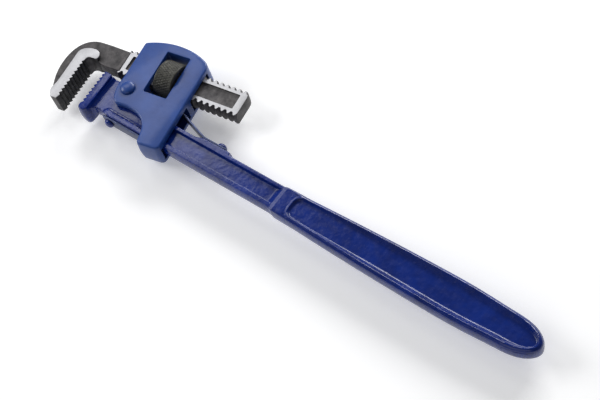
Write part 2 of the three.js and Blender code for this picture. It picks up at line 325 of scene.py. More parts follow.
def paint(name, look):
    # enamel over rough forging, with a little orange peel
    material, tree, shader, here = startMaterial(name)
    cloud = noise(tree, here, scale=38, detail=4, roughness=0.6)
    colour = ramp(tree, cloud, [(0.3, look["dark"]), (0.72, look["light"])])
    link(tree, colour, shader.inputs["Base Color"])
    patches = noise(tree, here, scale=140, detail=3)
    link(tree, rangeOf(tree, patches, *look["rough"]), shader.inputs["Roughness"])
    forging = noise(tree, here, scale=160, detail=2, roughness=0.5)
    peel = noise(tree, here, scale=900, detail=2, roughness=0.5)
    bump(tree, [(forging, look["lumps"], 0.0009), (peel, 0.12, 0.00012)], shader)
    shader.inputs["Coat Weight"].default_value = 0.25
    shader.inputs["Coat Roughness"].default_value = 0.12
    shader.inputs["Specular IOR Level"].default_value = 0.35
    return material


def forgedSteel():
    material, tree, shader, here = startMaterial("forgedSteel")
    scale = noise(tree, here, scale=120, detail=5, roughness=0.62)
    colour = ramp(tree, scale, [(0.3, (0.035, 0.034, 0.036)), (0.55, (0.085, 0.08, 0.082)),
                                (0.8, (0.14, 0.132, 0.13))])
    link(tree, colour, shader.inputs["Base Color"])
    shader.inputs["Metallic"].default_value = 0.55
    grain = noise(tree, here, scale=700, detail=4, roughness=0.6)
    link(tree, rangeOf(tree, grain, 0.42, 0.66), shader.inputs["Roughness"])
    bump(tree, [(noise(tree, here, scale=260, detail=3), 0.35, 0.0006), (grain, 0.25, 0.00015)], shader)
    return material


def groundSteel():
    # fine grinding strokes along x, with faint stains
    material, tree, shader, here = startMaterial("groundSteel")
    strokes = noise(tree, here, scale=6, detail=4, roughness=0.7, stretch=(60, 900, 60))
    stain = noise(tree, here, scale=90, detail=3, roughness=0.6)
    colour = ramp(tree, strokes, [(0.25, (0.42, 0.42, 0.44)), (0.7, (0.68, 0.68, 0.70))])
    mix = tree.nodes.new("ShaderNodeMix")
    mix.data_type = "RGBA"
    mix.blend_type = "MULTIPLY"
    mix.inputs["Factor"].default_value = 0.25
    link(tree, colour, mix.inputs["A"])
    link(tree, ramp(tree, stain, [(0.3, (0.6, 0.6, 0.62)), (0.65, (1, 1, 1))]), mix.inputs["B"])
    link(tree, mix.outputs["Result"], shader.inputs["Base Color"])
    shader.inputs["Metallic"].default_value = 0.75
    link(tree, rangeOf(tree, strokes, 0.38, 0.56), shader.inputs["Roughness"])
    bump(tree, [(strokes, 0.3, 0.00008)], shader)
    return material


def blackenedSteel(name="blackenedSteel", dark=(0.02, 0.02, 0.018), light=(0.07, 0.068, 0.058)):
    material, tree, shader, here = startMaterial(name)
    cloud = noise(tree, here, scale=200, detail=4, roughness=0.6)
    colour = ramp(tree, cloud, [(0.3, dark), (0.7, light)])
    link(tree, colour, shader.inputs["Base Color"])
    shader.inputs["Metallic"].default_value = 0.6
    fine = noise(tree, here, scale=1200, detail=3)
    link(tree, rangeOf(tree, fine, 0.38, 0.58), shader.inputs["Roughness"])
    bump(tree, [(fine, 0.3, 0.0001)], shader)
    return material


def springSteel():
    material, tree, shader, here = startMaterial("springSteel")
    strokes = noise(tree, here, scale=5, detail=4, roughness=0.7, stretch=(60, 60, 900))
    colour = ramp(tree, strokes, [(0.3, (0.035, 0.045, 0.10)), (0.7, (0.09, 0.11, 0.20))])
    link(tree, colour, shader.inputs["Base Color"])
    shader.inputs["Metallic"].default_value = 0.7
    link(tree, rangeOf(tree, strokes, 0.3, 0.48), shader.inputs["Roughness"])
    bump(tree, [(strokes, 0.3, 0.00006)], shader)
    return material


glossPaint = paint("glossPaint", paintLook["gloss"])
satinPaint = paint("satinPaint", paintLook["satin"])
forged = forgedSteel()
ground = groundSteel()
blackened = blackenedSteel()
# near-black steel for the tooth faces, darker than the forged body as painted shade
toothBlackAndShade = blackenedSteel("toothBlackAndShade", (0.012, 0.012, 0.013), (0.04, 0.04, 0.042))
springFinish = springSteel()
print("materials made")


# Handle.

handleSize = {
    # bar: half height, and half thicknesses of rails, web and neck
    "barHalf": 14.4, "railZ": 8.5, "webZ": 5.2, "neckZ": 7.0, "barRound": 1.5,
    "railLow": -7.4, "railHigh": 9.6, "draft": 1.7, "grooveDepth": 0.55,
    # grip, from its shoulder to its round end
    "gripStart": 228, "gripZ": 9.0, "gripRound": 4.0, "tipFrom": 500, "tip": 540, "tipHalf": 18.9,
    "dishStart": 243, "dishInset": 4.0, "dishCorner": 9, "dishDepth": 2.6, "dishDeeper": 1.2,
    "dishDraft": 2.4, "dishWider": 4.2, "beadHeight": 0.3,
    # heel jaw
    "heelBack": -26.6, "heelFillet": 3.2, "heelZ": 13.5, "toothPitch": 5, "toothDepth": 2.5,
    # forging draft: how far the sides swell at mid thickness
    "parting": 0.9, "draftSwell": 1.4,
    # seats of the two leaf springs and the places of their rivets
    "seatRise": 3.0, "rearRivetX": 132, "frontRivetX": 1,
}


def hermite(xs, ys, x):
    # smooth curve through a few points
    xs, ys = np.array(xs, float), np.array(ys, float)
    slopes = np.gradient(ys, xs)
    i = np.clip(np.searchsorted(xs, x) - 1, 0, len(xs) - 2)
    h = xs[i + 1] - xs[i]
    t = (x - xs[i]) / h
    return ((1 + 2 * t) * (1 - t) ** 2 * ys[i] + t * (1 - t) ** 2 * h * slopes[i]
            + t * t * (3 - 2 * t) * ys[i + 1] + t * t * (t - 1) * h * slopes[i + 1])


def smoothStep(low, high, value):
    t = np.clip((value - low) / (high - low), 0, 1)
    return t * t * (3 - 2 * t)


def springSeat(x):
    # the raised flat that the rear spring is riveted to
    return handleSize["seatRise"] * smoothStep(101, 113, x) * (1 - smoothStep(147.4, 149, x))


def outerEdge(x):
    # half height of the handle: the neck's lug, the plain bar, then the grip
    s = handleSize
    if x < 22:
        return float(hermite([-34, -20, -12, -2, 6, 12, 22], [27.7, 27.9, 30, 32.8, 31, 25, 14.4], x))
    if x < s["gripStart"] - 4:
        return s["barHalf"]
    if x < s["tipFrom"]:
        shoulder = smoothStep(s["gripStart"] - 4, s["gripStart"], x)
        places = [220, 300, 350, 400, 450, s["tipFrom"]]
        halves = [15.0, 18.4, 20, 21, 21.2, s["tipHalf"]]
        grip = float(hermite(places, halves, x))
        return s["barHalf"] + (grip - s["barHalf"]) * shoulder
    reach = (x - s["tipFrom"]) / (s["tip"] - s["tipFrom"])
    return s["tipHalf"] * sqrt(max(0, 1 - reach ** 2.3)) ** 1.02


def upperEdge(x):
    return outerEdge(x) + springSeat(x)


def lowerEdge(x):
    if x < 4:
        places = [-34, -27, -23.5, -19, -10, -6, -2, 4]
        heights = [-19, -18, -13.6, -12.5, -12.5, -13.6, -14.3, -14.4]
        return float(hermite(places, heights, x))
    return -outerEdge(max(x, 22))


def edgeDistance(x, y):
    # how far inside the handle's outline a point lies
    s = handleSize
    if x <= s["tipFrom"]:
        return min(y - lowerEdge(x), upperEdge(x) - y)
    long, wide = s["tip"] - s["tipFrom"], s["tipHalf"]
    u, v = (x - s["tipFrom"]) / long, y / wide
    rho = hypot(u, v)
    slope = hypot(u / long, v / wide) / max(rho, 1e-6)
    return max(0, (1 - rho) / max(slope, 1e-6))


def dishWall(x):
    # width of the dish's sloping wall: steep where it starts, a round trough further on
    s = handleSize
    wider = smoothStep(s["dishStart"] + 12, 380, x) * (1 - smoothStep(s["tipFrom"], s["tip"], x))
    return s["dishDraft"] + s["dishWider"] * wider


def barHeight(x, y):
    # half thickness of the neck and the bar: two rails with a web between them
    s = handleSize
    grip = smoothStep(s["gripStart"] - 3, s["gripStart"], x)
    face = s["railZ"] + (s["gripZ"] - s["railZ"]) * grip
    # the lower rail has a round start beside the heel jaw, outlined by a groove
    railMiddle = (s["railLow"] - s["barHalf"]) / 2
    railHalf = (s["railLow"] + s["barHalf"]) / 2
    inRail = railHalf - hypot(min(x + 5.5, 0), y - railMiddle)
    lowerRail = smoothStep(-0.5, 1.1, inRail)
    upperRail = smoothStep(-s["draft"] / 2, s["draft"] / 2, y - s["railHigh"]) * smoothStep(10, 20, x)
    webEnd = smoothStep(s["gripStart"] - 11, s["gripStart"] - 3, x)
    # the neck's floor runs down to the web under the housing
    floor = s["neckZ"] + (s["webZ"] - s["neckZ"]) * smoothStep(20, 60, x)
    if x > -12:
        floor -= s["grooveDepth"] * np.exp(-((inRail + 1.0) / 0.8) ** 2) * (1 - smoothStep(50, 80, x))
    return floor + (face - floor) * max(lowerRail, upperRail, webEnd)


def dishHeight(x, y):
    # how much the grip's dish, and the bead round it, change the surface
    s = handleSize
    if x <= s["dishStart"] - 3:
        return 0
    inside = edgeDistance(x, y) - s["dishInset"]
    corner = s["dishCorner"]
    if x < s["dishStart"] + corner:
        half = upperEdge(s["dishStart"] + corner) - s["dishInset"]
        across = max(0, abs(y) - (half - corner))
        inside = min(inside, corner - hypot(s["dishStart"] + corner - x, across))
    depth = s["dishDepth"] + s["dishDeeper"] * smoothStep(290, 420, x)
    slope = sin(pi / 2 * min(max(inside / dishWall(x), 0), 1)) ** 1.3
    return s["beadHeight"] * np.exp(-((inside + 0.6) / 0.9) ** 2) - depth * slope


def edgeRound(x):
    # radius of the outer edge: small on the bar, larger on the grip
    s = handleSize
    grip = smoothStep(s["gripStart"] - 3, s["gripStart"], x) * smoothStep(s["gripStart"], 262, x)
    return s["barRound"] + (s["gripRound"] - s["barRound"]) * grip


def handleHeight(x, y):
    s = handleSize
    z = barHeight(x, y)
    # concave fillet against the heel jaw
    fillet = s["heelFillet"]
    fromHeel = x - s["heelBack"]
    if fromHeel < fillet:
        z = max(z, s["neckZ"] + fillet - sqrt(max(0, fillet ** 2 - (fillet - fromHeel) ** 2)))
    z += dishHeight(x, y)
    radius = edgeRound(x)
    near = min(edgeDistance(x, y), radius)
    return z - radius + sqrt(max(0, radius ** 2 - (radius - near) ** 2))


def marksAlongGrip(x):
    # heights where a section changes from one surface to the next
    s = handleSize
    low, high = lowerEdge(x), upperEdge(x)
    grip = smoothStep(s["gripStart"] - 8, s["dishStart"], x)
    edge = s["barRound"] + (s["gripRound"] - s["barRound"]) * grip
    rim = s["dishInset"]
    wall = min(dishWall(x), high - rim - 2) + 0.4
    onBar = [s["railLow"] - 0.4, s["railLow"] + s["draft"] + 0.6,
             s["railHigh"] - s["draft"] / 2 - 0.4, s["railHigh"] + s["draft"] / 2 + 0.4]
    onGrip = [low + rim - 0.6, low + rim + wall, high - rim - wall, high - rim + 0.6]
    middle = [a + (b - a) * grip for a, b in zip(onBar, onGrip)]
    return [low + edge] + middle + [high - edge], edge


def marksAtTip(x):
    # the same marks beyond the grip's widest part, drawn in with its round end
    s = handleSize
    full, high = s["tipHalf"], upperEdge(x)
    rim, wall = s["dishInset"], dishWall(s["tipFrom"])
    low = [s["gripRound"] - 0.8 - full, rim - 0.6 - full, rim + wall + 0.4 - full]
    scale = high / full
    return [y * scale for y in low + [-y for y in reversed(low)]], s["gripRound"] * scale


def sectionPlaces(x):
    # heights across the handle at which a section is drawn: close together where the surface bends
    marks, edge = marksAtTip(x) if x > handleSize["tipFrom"] else marksAlongGrip(x)
    rounded = [edge * (1 - cos(a)) for a in np.linspace(0, pi / 2, 7)][:-1]
    places = [lowerEdge(x) + r for r in rounded]
    for low, high, count in zip(marks, marks[1:], (4, 9, 10, 9, 4)):
        places += list(np.linspace(low, high, count, endpoint=False))
    return places + [marks[-1]] + [upperEdge(x) - r for r in reversed(rounded)]


def handleStations():
    # where sections are drawn along the handle: (from, to, step), then the round end
    s = handleSize
    dish = s["dishStart"] - 3
    stretches = [
        (-31, -18, 0.5), (-18, -12, 1.5), (-12, 2, 0.45), (2, 24, 1.1), (24, 99, 5), (99, 115, 1),
        (115, 146, 4), (146.5, 150, 0.4), (150, 212, 6), (212, dish, 1), (dish, 262, 0.6),
        (262, s["tipFrom"], 4),
    ]
    turn = np.linspace(0, pi / 2, 46)[:-1]
    tip = [s["tipFrom"] + (s["tip"] - s["tipFrom"]) * sin(a) for a in turn]
    return np.concatenate([np.arange(*stretch) for stretch in stretches] + [tip])


def handleForging():
    # one ring of points at each station: the upper side, then the same heights below
    points, faces = [], []
    stations = handleStations()
    parting = handleSize["parting"]
    for x in stations:
        upper = [(x, y, handleHeight(x, y)) for y in sectionPlaces(x)]
        low, high = upper[0], upper[-1]
        ring = upper + [(x, high[1] + parting, 0)] + [(x, y, -z) for x, y, z in reversed(upper)]
        ring.append((x, low[1] - parting, 0))
        points += ring
    size = len(points) // len(stations)
    for station in range(len(stations) - 1):
        a = station * size
        for i in range(size):
            j = (i + 1) % size
            faces.append((a + i, a + j, a + size + j, a + size + i))
    faces.append(tuple(range(size)))
    faces.append(tuple((len(stations) - 1) * size + i for i in range(size)))
    return meshObject("handleForging", points, faces, handleFrame, glossPaint)


def heelJaw():
    s = handleSize
    teeth = toothLine((-37, -19.6), (-40.3, 25.6), s["toothPitch"], s["toothDepth"], 0.35)
    line = bow((-26.5, -19), (-26.6, -23.9), (-31, -24.1))
    line += bow((-33, -24.1), (-36, -24), (-36.8, -21))
    line += teeth + bow((-39.6, 25.9), (-39.6, 27.7), (-37.4, 27.7), 6)
    line += bow((-31, 27.7), (-29, 27.7), (-28.9, 25.6), 6) + [(-26.7, -4)]

    def swell(x, y):
        return s["draftSwell"] * (1 - smoothStep(-21, -10, y))

    return roundedPlate("heelJaw", line, s["heelZ"], 0.8, handleFrame, glossPaint, 3, swell)


def makeHandle():
    handle = handleForging()
    combine(handle, heelJaw(), "UNION")
    return handOver(shade(handle, 38), "handle", ["handle"])


makeHandle()
print("handle made")


# Leaf springs.

springSize = {"thickness": 2.0, "halfZ": 7.0, "round": 0.55, "clearance": 0.3}
seatTop = handleSize["barHalf"] + handleSize["seatRise"]


def stripOutline(under, side):
    # gives a line of points a thickness on one side
    line = np.array(under, float)
    along = np.gradient(line, axis=0)
    along /= np.linalg.norm(along, axis=1)[:, None]
    normal = np.stack([-along[:, 1], along[:, 0]], 1) * side
    over = line + normal * springSize["thickness"]
    return [tuple(p) for p in line] + [tuple(p) for p in reversed(over)]


def leafSpring(name, node, under, side):
    s = springSize
    outline = stripOutline(under, side)
    piece = roundedPlate(name, outline, s["halfZ"], s["round"], handleFrame, springFinish, 3)
    return handOver(shade(piece), "handle", [node])


rearSeat = seatTop + springSize["clearance"]
rearLine = bezier((63.6, 31.4), (80, 27.2), (100, 20.2), (110, rearSeat + 0.1), 18)
rearLine += [(x, rearSeat) for x in (114, 120, 128, 136, 140.6)]
leafSpring("rearLeafSpring", "rear_spring", rearLine, 1)

frontSeat = -handleSize["barHalf"] - springSize["clearance"]
frontLine = [(x, frontSeat) for x in (-7.6, 0, 12, 28)]
frontLine += bezier((34, frontSeat), (50, frontSeat), (62, -16.1), (75.6, -15.3), 12)
leafSpring("frontLeafSpring", "front_spring", frontLine, -1)
print("springs made")


# Housing.

housingSize = {
    "halfZ": 15.1, "round": 2.0, "draftSwell": 1.4,
    "windowLeft": 22, "windowRight": 51.5, "windowLow": 25, "windowHigh": 79.3, "windowRound": 0.7,
    "tunnelHalf": 19.6, "tunnelZ": 9.3, "slotZ": 9.0, "underBar": 4,
}


def housingLine():
    # from the upper left corner over the crown, down the right side, round the lower end and back
    line = bow((-9.3, 79.5), (-9.2, 82.4), (-6.4, 83.2), 6) + bow((-6.4, 83.2), (11, 91), (31, 91), 16)
    line += bow((31, 91), (51, 91), (68, 82.9), 16) + bow((68, 82.9), (75, 79.4), (75.2, 71), 8)
    line += bow((76, -29), (75.7, -34.1), (70.6, -34.5), 8) + bow((54, -35.2), (48.9, -35.2), (47.7, -30.5), 8)
    line += bezier((47.6, -30), (46.6, -15), (40, 4.4), (0.3, 1.3), 26)[1:]
    line += bezier((-0.7, 1.4), (-6, 4.2), (-10.4, 14), (-10.2, 25), 14)[1:] + [(-9.3, 37)]
    return line


def straightCutter(line, halfZ, frameMatrix):
    return ringSolid("cutter", line, [(0, -halfZ), (0, halfZ)], frameMatrix)


def rectangle(left, right, low, high):
    return [(left, low), (right, low), (right, high), (left, high)]


def handleSlot():
    # the slot's lower side runs along the bar, which is turned from the housing
    bar = handleSize["barHalf"] / cos(housingSwing) + housingSize["underBar"]

    def under(u):
        return -bar - tan(housingSwing) * u

    line = [(-30, -50), (46, -50), (46, under(46)), (100, under(100)), (100, 25.5), (57, 25.5),
            (54, 20.5), (20, 20.5), (17, 37), (-30, 37)]
    return straightCutter(line, housingSize["slotZ"], housingFrame)


def makeHousing():
    s = housingSize

    def swell(x, y):
        return s["draftSwell"] * (1 - smoothStep(-30, 0, y))

    housing = roundedPlate("housing", housingLine(), s["halfZ"], s["round"], housingFrame, satinPaint, 5, swell)
    window = rectangle(s["windowLeft"], s["windowRight"], s["windowLow"], s["windowHigh"])
    levels = flaredLevels(s["halfZ"], s["windowRound"])
    combine(housing, ringSolid("cutter", corners(window, 1.6, 5), levels, housingFrame))
    tunnel = rectangle(-150, 150, -s["tunnelHalf"], s["tunnelHalf"])
    combine(housing, straightCutter(tunnel, s["tunnelZ"], shankFrame))
    combine(housing, handleSlot())
    housing.name = "housingBody"
    return handOver(shade(housing), "housing", ["housing"])


makeHousing()
print("housing made")


# Hook jaw.

hookSize = {
    "padZ": 13.5, "faceZ": 8.8, "shankZ": 8.0, "radius": 17.75, "depth": 3.0, "pitch": 7.6,
    "shankStart": -63, "shankEnd": 93.5, "innerBorder": 7, "endBorder": 8.2, "recessHalf": 9.2,
    "recess": 2.0, "threadSpare": 15,
}
hookTeeth = toothLine((-64.4, -14.5), (-61.8, 35.6), handleSize["toothPitch"], -handleSize["toothDepth"], 0.65)


def hookLine():
    # the body's inner side runs behind the teeth, which belong to the pads
    line = [(-73.4, -15.6), (-69.6, -15.6), (-65.6, 37.4)]
    line += bezier((-65.2, 40), (-64.6, 43), (-60, 44.2), (-56.6, 44.2), 8)
    line += bezier((-49.5, 44.2), (-45, 41.8), (-41, 41.3), (-36, 41.2), 8)
    line += [(-19, 41.2), (-19, 67.6), (-44, 68.4)] + bezier((-58, 68.2), (-76, 68), (-89, 54), (-89, 28), 24)
    return line + bezier((-89, 28), (-89, 10), (-82, -2), (-76.2, -14), 20)[1:]


def padLine():
    # from the tip, up the teeth, round the throat's curl and back down
    line = bow((-76, -14.8), (-75.2, -16.6), (-72.5, -16.6), 6) + [(-66.4, -16.6)]
    line += hookTeeth + [(-62.2, 37.4)]
    line += bezier((-62, 38.5), (-61.8, 42), (-60, 43.8), (-56.6, 43.8), 10)
    line += bezier((-51.4, 43.8), (-46.6, 43.8), (-47.6, 55), (-58, 55), 14)
    line += bezier((-58, 55), (-68, 55), (-75.6, 50.5), (-75.6, 43.5), 12)[1:]
    return line + [(-76.4, 10)] + bezier((-77, 2), (-77.4, -2), (-79.4, -6), (-78.8, -8.6), 8)


def threadedRod(name, radius, depth, pitch, length, rootShare, crestShare, sides, frameMatrix, material=None):
    # right-hand thread along x; each turn joins the next one pitch further on
    bend = 0.04  # share of the pitch over which each corner is eased
    root, crest = rootShare / 2, crestShare / 2
    shares = [(-root, 0), (root - bend, 0), (root + bend, 0.12), (0.5 - crest - bend, 0.88),
              (0.5 - crest + bend, 1), (0.5 + crest - bend, 1), (0.5 + crest + bend, 0.88),
              (1 - root - bend, 0.12)]
    turns = 2 * int(np.ceil(length / pitch / 2)) + 2
    columns = turns * len(shares)
    start = -turns * pitch / 2
    points, faces = [], []
    for side in range(sides + 1):
        angle = 2 * pi * (side % sides) / sides
        for column in range(columns + 1):
            share, height = shares[column % len(shares)]
            r = radius - depth + depth * height
            x = start + pitch * (column // len(shares) + share + side / sides)
            points.append((x, r * cos(angle), r * sin(angle)))

    def at(side, column):
        return side * (columns + 1) + column

    for side in range(sides):
        for column in range(columns):
            faces.append((at(side, column), at(side + 1, column),
                          at(side + 1, column + 1), at(side, column + 1)))
    hub = len(points)
    points += [(start + pitch / 2, 0, 0), (start + pitch * (turns + 0.5), 0, 0)]
    for side in range(sides):
        faces.append((hub, at(side + 1, 0), at(side, 0)))
        faces.append((hub + 1, at(side, columns), at(side + 1, columns)))
    for column in range(len(shares)):
        faces.append((hub, at(0, column), at(0, column + 1)))
        faces.append((hub + 1, at(sides, columns - column), at(sides, columns - column - 1)))
    return meshObject(name, points, faces, frameMatrix, material)


def makeShank():
    s = hookSize
    half = s["radius"] + 3
    start, end = s["shankStart"], s["shankEnd"]
    line = [(start, -half), (end, -half)] + bow((end, 6.5), (end, 15.8), (end - 9.5, half), 12)
    line.append((start, half))
    length = end - start + s["threadSpare"]
    rod = threadedRod("shank", s["radius"], s["depth"], s["pitch"], length, 0.3, 0.16, 96, shankFrame, forged)
    combine(rod, roundedPlate("slab", line, s["shankZ"], 0.5, shankFrame, forged, 2), "INTERSECT")
    recess = rectangle(start + s["innerBorder"], end - s["endBorder"], -s["recessHalf"], s["recessHalf"])
    for side in (1, -1):
        # a floor with a small fillet, drafted walls, then clear of the face
        floor = s["shankZ"] - s["recess"]
        profile = [(1.1, floor), (0.5, floor + 0.25), (0, s["shankZ"]), (0, s["shankZ"] + 3)]
        levels = [(inset, side * z) for inset, z in profile]
        combine(rod, ringSolid("recess", corners(recess, 1.4, 5), levels, shankFrame, forged))
    return rod


def paintGroundFaces(piece):
    # the pads and the shank's borders are ground bright, and the tooth faces towards the throat get near-black
    # steel darkened further as painted shade
    s = hookSize
    piece.data.materials.append(ground)
    piece.data.materials.append(toothBlackAndShade)
    intoShank = shankFrame.inverted()
    intoHook = hookFrame.inverted()
    for face in piece.data.polygons:
        onShank = intoShank @ face.center
        inHook = intoHook @ face.center
        height = abs(inHook.z)
        padFace = height > s["padZ"] - 0.25 and abs(face.normal.z) > 0.5
        borderFace = abs(height - s["shankZ"]) < 0.3 and abs(face.normal.z) > 0.9
        if padFace or (borderFace and onShank.x > s["shankStart"] - 2):
            face.material_index = 1
        # walls facing the throat are picked by their direction and darkened as painted shade
        towardsThroat = abs(face.normal.z) < 0.3 and face.normal.x > 0.2
        if towardsThroat and -70 < inHook.x < -60 and inHook.y < 38:
            face.material_index = 2


def makeHookJaw():
    s = hookSize
    jaw = roundedPlate("hookJaw", hookLine(), s["faceZ"], 1.2, hookFrame, forged, 4)
    combine(jaw, roundedPlate("pad", padLine(), s["padZ"], 0.45, hookFrame, forged, 3), "UNION")
    combine(jaw, makeShank(), "UNION")
    paintGroundFaces(jaw)
    return handOver(shade(jaw, 30), "hook_jaw", ["hook_jaw"])


makeHookJaw()
print("hook jaw made")


# Adjusting nut, with a knurled rim from Geometry Nodes.

nutSize = {
    "radius": 22.2, "length": 23.6, "edge": 1.6, "boreClearance": 0.35,
    "knurlDepth": 0.55, "knurlCount": 44, "knurlSlant": 5.5,
}


def mathNode(tree, operation, first, second=None):
    node = tree.nodes.new("ShaderNodeMath")
    node.operation = operation
    for socket, value in zip(node.inputs, (first, second)):
        if value is None:
            continue
        if isinstance(value, (int, float)):
            socket.default_value = value
        else:
            link(tree, value, socket)
    return node.outputs[0]


def startTree(name, inputs):
    # an empty tree with geometry in and out, and a named number for each size
    tree = bpy.data.node_groups.new(name, "GeometryNodeTree")
    face = tree.interface
    face.new_socket("Geometry", in_out="INPUT", socket_type="NodeSocketGeometry")
    for label, value in inputs.items():
        socket = face.new_socket(label, in_out="INPUT", socket_type="NodeSocketFloat")
        socket.default_value = value
    face.new_socket("Geometry", in_out="OUTPUT", socket_type="NodeSocketGeometry")
    return tree, tree.nodes.new("NodeGroupInput").outputs


def knurlTree(inputs):
    # presses a diamond knurl into a smooth rim: two sets of slanted grooves, faded out at its edges
    tree, source = startTree("knurledRim", inputs)

    def maths(operation, first, second=None):
        return mathNode(tree, operation, first, second)

    position = tree.nodes.new("GeometryNodeInputPosition").outputs[0]
    split = tree.nodes.new("ShaderNodeSeparateXYZ")
    link(tree, position, split.inputs[0])
    x, y, z = split.outputs
    around = maths("MULTIPLY", maths("ARCTAN2", z, y), source["Knurl Count"])
    lead = maths("MULTIPLY", maths("DIVIDE", x, source["Rim Radius"]), source["Knurl Count"])
    lead = maths("MULTIPLY", lead, maths("DIVIDE", source["Slant"], 10.0))
    waves = []
    for operation in ("ADD", "SUBTRACT"):
        phase = maths("MULTIPLY", maths(operation, around, lead), 0.5)
        wave = maths("ABSOLUTE", maths("COSINE", phase))
        waves.append(maths("SUBTRACT", 1.0, maths("POWER", wave, 0.7)))
    grooves = maths("MAXIMUM", waves[0], waves[1])
    away = maths("DIVIDE", maths("ABSOLUTE", x), source["Half Length"])
    fade = maths("MAXIMUM", maths("SUBTRACT", 1.0, maths("POWER", away, 10.0)), 0.0)
    radius = maths("SQRT", maths("ADD", maths("MULTIPLY", y, y), maths("MULTIPLY", z, z)))
    onRim = maths("GREATER_THAN", radius, maths("MULTIPLY", source["Rim Radius"], 0.97))
    depth = maths("MULTIPLY", grooves, source["Knurl Depth"])
    depth = maths("MULTIPLY", depth, maths("MULTIPLY", fade, onRim))
    shrink = maths("SUBTRACT", 0.0, maths("DIVIDE", depth, radius))
    push = tree.nodes.new("ShaderNodeCombineXYZ")
    link(tree, maths("MULTIPLY", y, shrink), push.inputs[1])
    link(tree, maths("MULTIPLY", z, shrink), push.inputs[2])
    move = tree.nodes.new("GeometryNodeSetPosition")
    link(tree, source["Geometry"], move.inputs["Geometry"])
    link(tree, push.outputs[0], move.inputs["Offset"])
    return finishTree(tree, move.outputs[0], blackened)


def finishTree(tree, geometry, material):
    real = tree.nodes.new("GeometryNodeRealizeInstances")
    link(tree, geometry, real.inputs[0])
    coat = tree.nodes.new("GeometryNodeSetMaterial")
    coat.inputs["Material"].default_value = material
    link(tree, real.outputs[0], coat.inputs["Geometry"])
    link(tree, coat.outputs[0], tree.nodes.new("NodeGroupOutput").inputs[0])
    return tree


def setInputs(modifier, values):
    # a modifier knows its inputs by the sockets' identifiers
    for item in modifier.node_group.interface.items_tree:
        if item.in_out == "INPUT" and item.name in values:
            modifier[item.identifier] = values[item.name]


def spun(name, profile, sides, frameMatrix, material=None):
    # profile of (x, radius) points turned about x; it starts and ends on the axis
    points, faces = [], []
    for side in range(sides):
        angle = 2 * pi * side / sides
        points += [(x, r * cos(angle), r * sin(angle)) for x, r in profile]
    count = len(profile)
    for side in range(sides):
        a, b = side * count, (side + 1) % sides * count
        faces += [(a + i, b + i, b + i + 1, a + i + 1) for i in range(count - 1)]
    return meshObject(name, points, faces, frameMatrix, material)


def makeNut():
    s = nutSize
    half, edge = s["length"] / 2, s["edge"]
    rim = [(x, s["radius"]) for x in np.linspace(-half + edge, half - edge, 52)]
    ease = [(half - edge + edge * sin(a), s["radius"] - edge + edge * cos(a))
            for a in np.linspace(0, pi / 2, 5)][1:]
    profile = [(-half, 0)] + [(-x, r) for x, r in reversed(ease)] + rim + ease + [(half, 0)]
    aboutAxis = Matrix.Scale(millimetre, 4)
    nut = spun("adjustingNut", profile, 440, aboutAxis, blackened)
    inputs = {
        "Knurl Depth": s["knurlDepth"] * millimetre, "Knurl Count": float(s["knurlCount"]),
        "Slant": s["knurlSlant"], "Rim Radius": s["radius"] * millimetre,
        "Half Length": (half - edge) * millimetre,
    }
    knurl = nut.modifiers.new("knurl", "NODES")
    knurl.node_group = knurlTree(inputs)
    setInputs(knurl, inputs)
    bake(nut)
    h = hookSize
    boreRadius = h["radius"] + s["boreClearance"]
    length = s["length"] + 2 * h["threadSpare"]
    combine(nut, threadedRod("bore", boreRadius, h["depth"], h["pitch"], length, 0.24, 0.24, 96, aboutAxis))
    nut.data.transform(shankFrame @ Matrix.Scale(1 / millimetre, 4))
    return handOver(shade(nut, 40), "nut", ["adjusting_nut"])


makeNut()
print("nut made")


# Rivets, set on points by Geometry Nodes.

rivetSize = {
    "strip": {"head": 5.6, "dome": 4.6, "shank": 3.0, "depth": 8.0},
    "pivot": {"head": 8.5, "dome": 4.0, "shank": 6.0, "depth": 15.4},
}


def rivetShape(name, size, material):
    # one head and its shank, the head's underside at the origin and the dome along +x
    head, dome, depth = size["head"], size["dome"], size["depth"]
    rim = 0.7  # height of the head's low edge
    profile = [(-depth, 0), (-depth, size["shank"]), (0, size["shank"]), (0, head - 0.25), (0.3, head)]
    profile += [(rim + (dome - rim) * sin(a), head * cos(a) ** 0.85)
                for a in np.linspace(0.12, pi / 2, 12)]
    return spun(name, profile, 48, Matrix.Scale(millimetre, 4), material)


def rivetTree(name, shape, material):
    # a copy of the shape on every point, turned so that its x runs along the point's "out" direction
    tree, source = startTree(name, {"Head Scale": 1.0})
    shapeNode = tree.nodes.new("GeometryNodeObjectInfo")
    shapeNode.inputs["Object"].default_value = shape
    out = tree.nodes.new("GeometryNodeInputNamedAttribute")
    out.data_type = "FLOAT_VECTOR"
    out.inputs["Name"].default_value = "out"
    align = tree.nodes.new("FunctionNodeAlignRotationToVector")
    align.axis = "X"
    link(tree, out.outputs["Attribute"], align.inputs["Vector"])
    copies = tree.nodes.new("GeometryNodeInstanceOnPoints")
    link(tree, source["Geometry"], copies.inputs["Points"])
    link(tree, shapeNode.outputs["Geometry"], copies.inputs["Instance"])
    link(tree, align.outputs["Rotation"], copies.inputs["Rotation"])
    link(tree, source["Head Scale"], copies.inputs["Scale"])
    return finishTree(tree, copies.outputs[0], material)


def makeRivets(name, size, places, material, body, replaced):
    # places are (point, direction out of the surface) pairs, in metres
    shape = rivetShape(name + "Shape", size, material)
    mesh = bpy.data.meshes.new(name)
    mesh.from_pydata([spot for spot, _ in places], [], [])
    out = mesh.attributes.new("out", "FLOAT_VECTOR", "POINT")
    out.data.foreach_set("vector", [c for _, direction in places for c in direction])
    rivets = newObject(name, mesh)
    setter = rivets.modifiers.new("rivets", "NODES")
    setter.node_group = rivetTree(name + "Tree", shape, material)
    setInputs(setter, {"Head Scale": 1.0})
    bake(rivets)
    bpy.data.objects.remove(shape)
    return handOver(shade(rivets), body, replaced)


